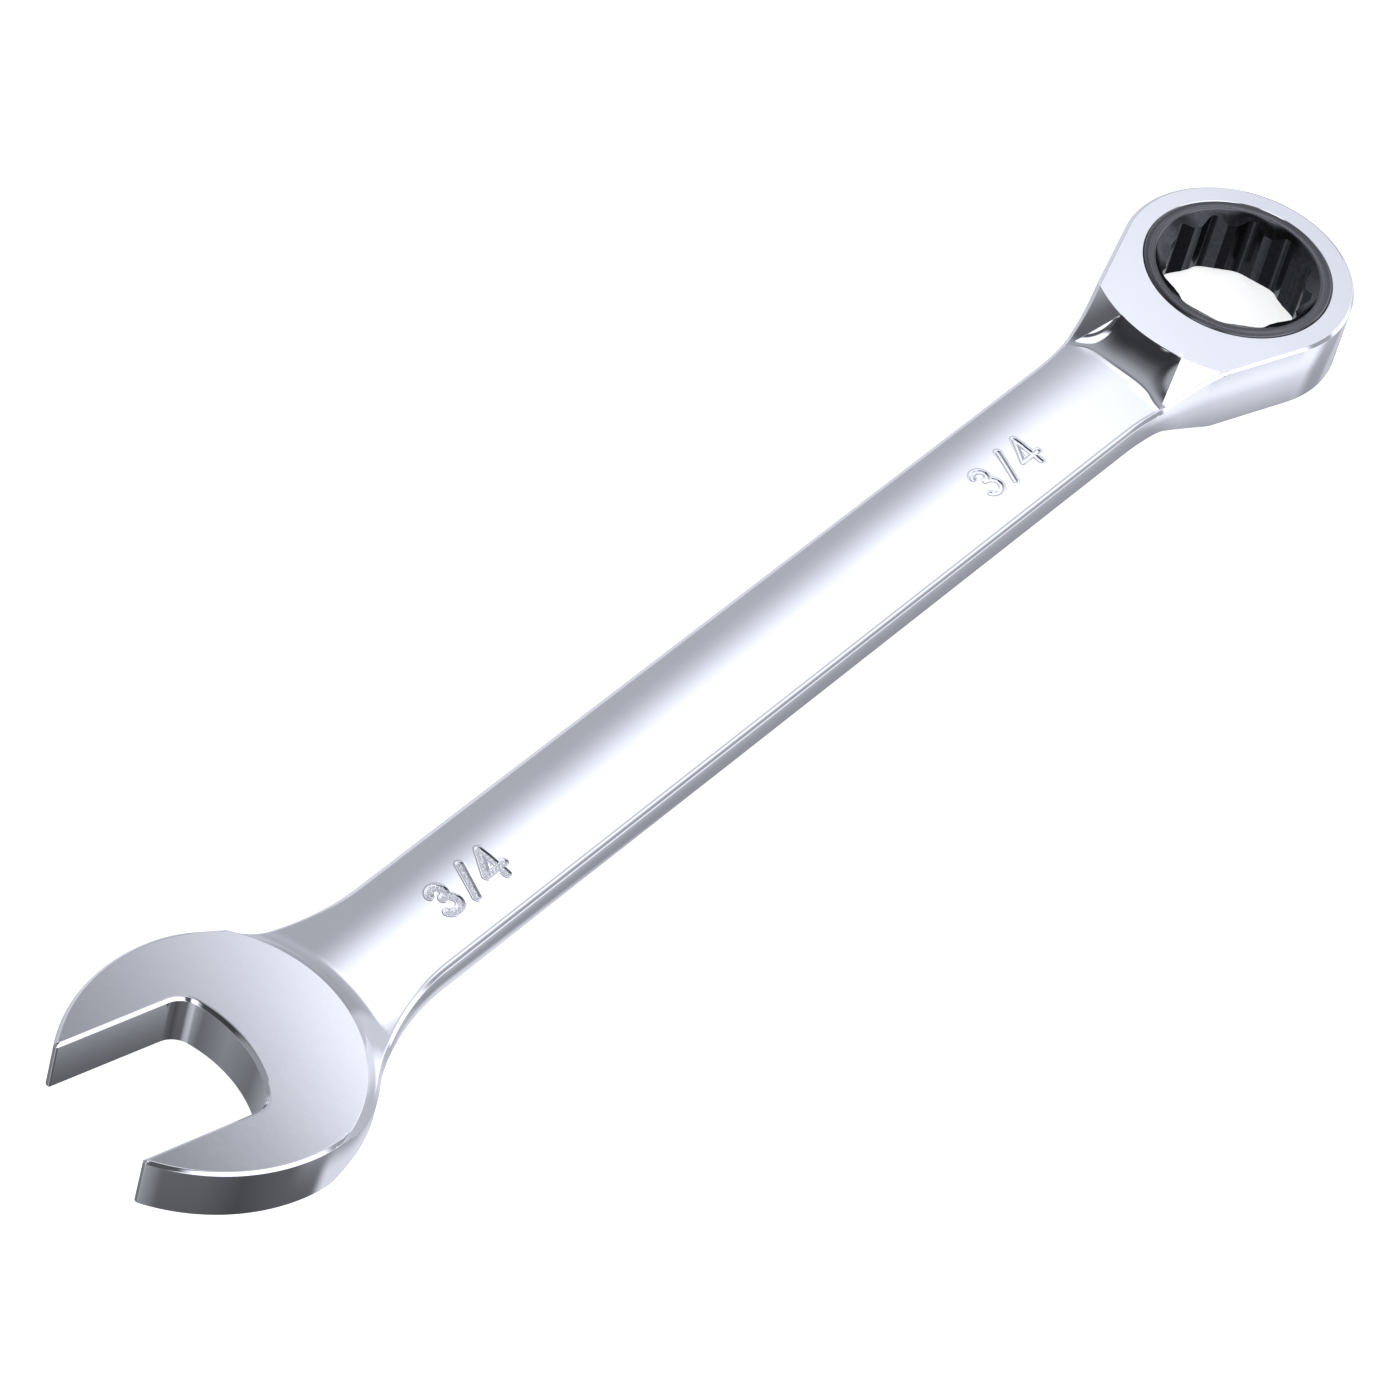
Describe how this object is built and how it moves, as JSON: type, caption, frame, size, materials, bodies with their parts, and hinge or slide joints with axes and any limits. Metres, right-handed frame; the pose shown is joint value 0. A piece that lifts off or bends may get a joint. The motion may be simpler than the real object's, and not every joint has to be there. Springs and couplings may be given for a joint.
{
  "type": "ratcheting combination wrench",
  "caption": "Flat steel combination wrench with an angled open jaw at one end and a ratcheting twelve-point ring socket at the other.",
  "frame": {"origin": "centre of the ratchet socket, half way through its thickness", "axes": "+Z along the socket axis; +X along the shank from the open end to the ring end; the wrench is symmetric about its mid-plane z = 0 apart from the snap ring near the underside"},
  "size_m": [0.2482, 0.038, 0.0112],
  "materials": {
    "polished_chrome": "satin polished chrome plate on forged steel",
    "dark_oxide_steel": "dark oxide, fine machined",
    "tool_steel": "hardened, ground",
    "spring_steel": "drawn wire"
  },
  "bodies": {
    "wrench": {"wrench_body": "polished_chrome", "retaining_ring": "spring_steel", "pawl_spring": "spring_steel"},
    "gear": {"ratchet_gear": "dark_oxide_steel"},
    "pawl": {"pawl": "tool_steel"}
  },
  "joints": [
    {"name": "gear_spin", "type": "hinge", "parent": "wrench", "child": "gear", "pos_m": [0, 0, 0], "axis": [0, 0, 1], "continuous": true},
    {"name": "pawl_slide", "type": "slide", "parent": "wrench", "child": "pawl", "axis": [-1, 0, 0], "range_m": [0, 0.0008], "stiffness_N_per_m": 150, "springref_m": -0.002, "deforming": ["pawl_spring"]}
  ]
}
